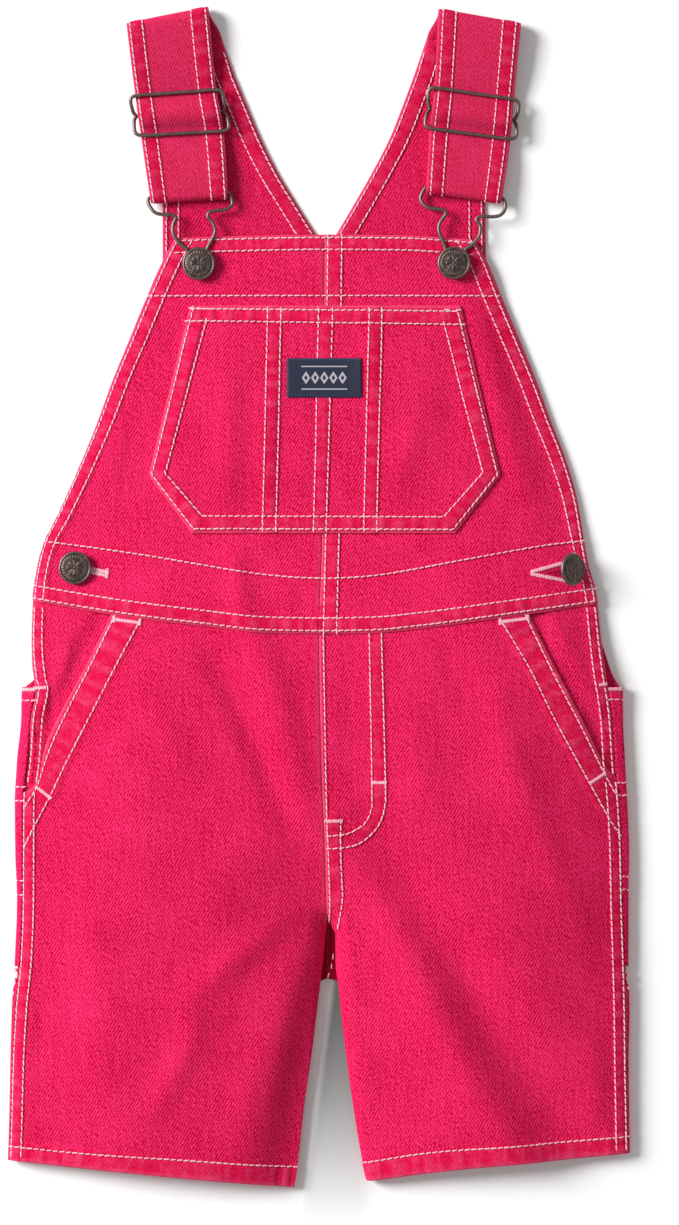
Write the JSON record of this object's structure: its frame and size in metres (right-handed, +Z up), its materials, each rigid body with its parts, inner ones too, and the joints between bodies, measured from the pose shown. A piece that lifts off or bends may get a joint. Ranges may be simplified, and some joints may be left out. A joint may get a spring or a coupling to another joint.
{
  "type": "overalls",
  "caption": "Short bib overalls in red-pink denim laid flat, with slanted pockets, a bib pocket, buckled shoulder straps and buttoned side openings.",
  "frame": {"origin": "centre of the garment's outline, on the surface it lies on", "axes": "+Z up out of the front, +Y towards the shoulder straps, +X towards the wearer's left side, which is the picture's right"},
  "size_m": [0.2867, 0.5443, 0.0162],
  "materials": {
    "denim": "garment-washed red-pink denim, fine diagonal twill, paler along worn edges",
    "thread": "matt pale pink topstitching thread",
    "label": "plain woven navy label cloth, no lettering",
    "dark_metal": "dark antiqued metal, worn brighter on raised rims"
  },
  "bodies": {
    "root": {"back_left": "denim", "back_right": "denim", "bib_button_left": "dark_metal", "bib_button_right": "dark_metal", "bib_left": "denim", "bib_pocket": "denim", "bib_right": "denim", "bodice_left": "denim", "bodice_right": "denim", "clasp_left": "dark_metal", "clasp_right": "dark_metal", "front_left": "denim", "front_right": "denim", "label": "label", "side_button_left": "dark_metal", "side_button_right": "dark_metal", "side_panel_left": "denim", "side_panel_right": "denim", "slide_left": "dark_metal", "slide_right": "dark_metal", "strap_left": "denim", "strap_right": "denim", "tool_pocket_left": "denim", "tool_pocket_right": "denim"}
  },
  "joints": []
}
